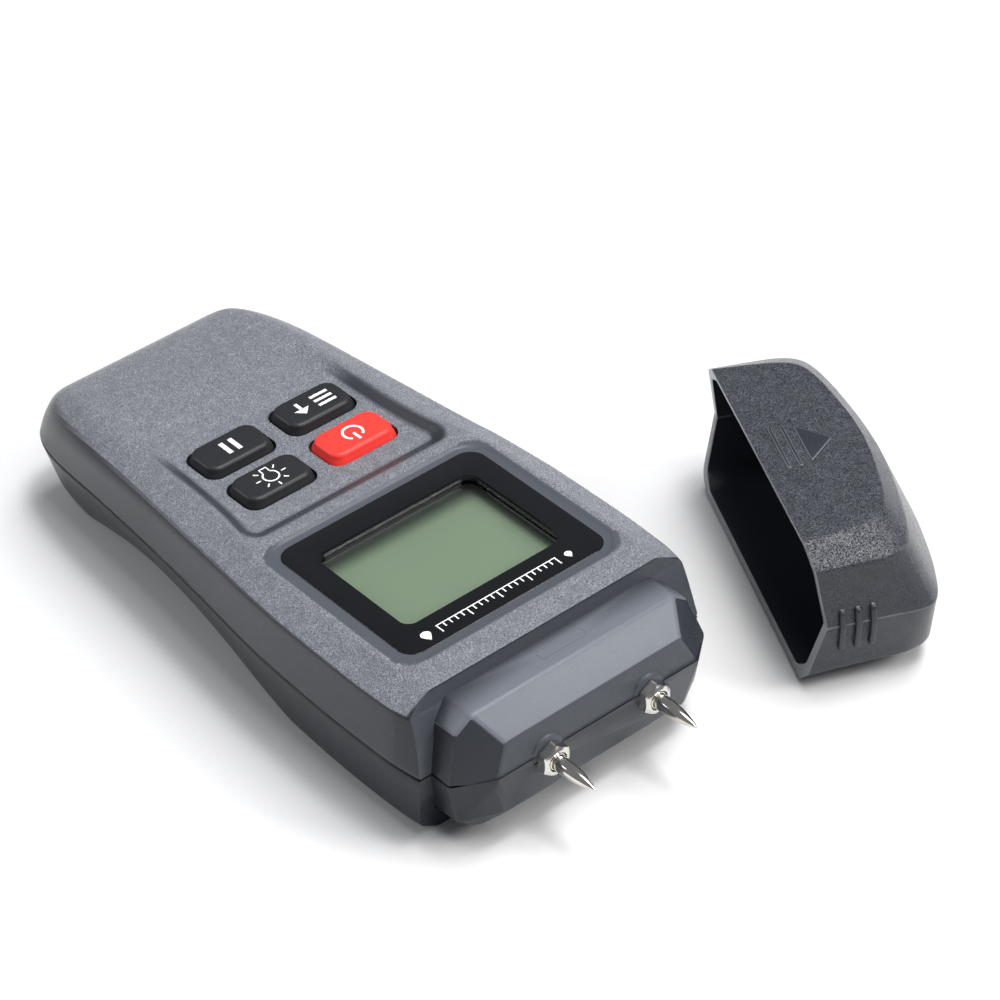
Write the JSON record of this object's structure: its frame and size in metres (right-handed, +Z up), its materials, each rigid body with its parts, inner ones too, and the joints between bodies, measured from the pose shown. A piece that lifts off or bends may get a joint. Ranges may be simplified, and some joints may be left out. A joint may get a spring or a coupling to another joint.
{
  "type": "moisture meter",
  "caption": "Handheld pin-type moisture meter with a recessed keypad under the display, measuring pins in a stepped nose, a sliding battery door and a separate wedge-sided protective cap.",
  "frame": {"origin": "on the flat underside, straight below the middle of the display window's bezel", "axes": "+X to the right of someone reading the display, +Y towards the measuring pins, +Z up out of the display"},
  "size_m": [0.1271, 0.1573, 0.0315],
  "materials": {
    "shell_grey": "fine spark-textured ABS",
    "shell_under": "fine spark-textured ABS",
    "cap_black": "spark-textured ABS",
    "bezel_black": "polished, with a matt border",
    "window_clear": "clear acrylic",
    "lcd_glass": "grey-green display",
    "inner_black": "plain moulded",
    "backlight_white": "diffuser",
    "board_green": "solder mask",
    "chip_black": "moulded epoxy",
    "capacitor_blue": "heat-shrink sleeve",
    "key_red": "soft silicone, printed symbol",
    "key_black": "soft silicone, printed symbol",
    "rubber_grey": "silicone",
    "pin_nickel": "nickel-plated, polished",
    "brass": "turned or stamped",
    "steel": "zinc-plated",
    "cell_wrap": "shrink-wrapped steel can",
    "foam": "foam strip"
  },
  "bodies": {
    "meter": {"front_shell": "shell_grey", "rear_shell": "shell_under", "display_bezel": "bezel_black", "display_lens": "window_clear", "lcd_frame": "inner_black", "lcd_panel": "lcd_glass", "backlight_panel": "backlight_white", "zebra_strip": "rubber_grey", "main_board": "board_green", "keypad_web": "rubber_grey", "controller_chip": "chip_black", "amplifier_chip": "chip_black", "capacitor": "capacitor_blue", "battery_contact_front": "steel", "battery_contact_rear": "steel", "switch_power": "chip_black", "switch_light": "chip_black", "switch_mode": "chip_black", "switch_hold": "chip_black", "pin_left": "pin_nickel", "pin_nut_left": "pin_nickel", "pin_socket_left": "brass", "contact_strip_left": "brass", "pin_right": "pin_nickel", "pin_nut_right": "pin_nickel", "pin_socket_right": "brass", "contact_strip_right": "brass", "battery_cell_1": "cell_wrap", "battery_cell_2": "cell_wrap", "battery_cell_3": "cell_wrap", "case_screw_1": "steel", "board_screw_1": "steel", "case_screw_2": "steel", "board_screw_2": "steel", "case_screw_3": "steel", "board_screw_3": "steel", "case_screw_4": "steel", "board_screw_4": "steel"},
    "key_power": {"key_power": "key_red"},
    "key_light": {"key_light": "key_black"},
    "key_mode": {"key_mode": "key_black"},
    "key_hold": {"key_hold": "key_black"},
    "battery_door": {"battery_door": "shell_under", "battery_pad": "foam"},
    "protective_cap": {"protective_cap": "cap_black"}
  },
  "joints": [
    {"name": "key_power_press", "type": "slide", "parent": "meter", "child": "key_power", "axis": [0, 0, -1], "range_m": [0, 0.001], "stiffness_N_per_m": 350},
    {"name": "key_light_press", "type": "slide", "parent": "meter", "child": "key_light", "axis": [0, 0, -1], "range_m": [0, 0.001], "stiffness_N_per_m": 350},
    {"name": "key_mode_press", "type": "slide", "parent": "meter", "child": "key_mode", "axis": [0, 0, -1], "range_m": [0, 0.001], "stiffness_N_per_m": 350},
    {"name": "key_hold_press", "type": "slide", "parent": "meter", "child": "key_hold", "axis": [0, 0, -1], "range_m": [0, 0.001], "stiffness_N_per_m": 350},
    {"name": "battery_door_slide", "type": "slide", "parent": "meter", "child": "battery_door", "axis": [0, -1, 0], "range_m": [0, 0.05]},
    {"name": "cap_swing", "type": "hinge", "parent": "meter", "child": "protective_cap", "pos_m": [0.00068, -0.0085, 0.016], "axis": [0, 0, 1], "range_deg": [-64.6, 0]}
  ]
}
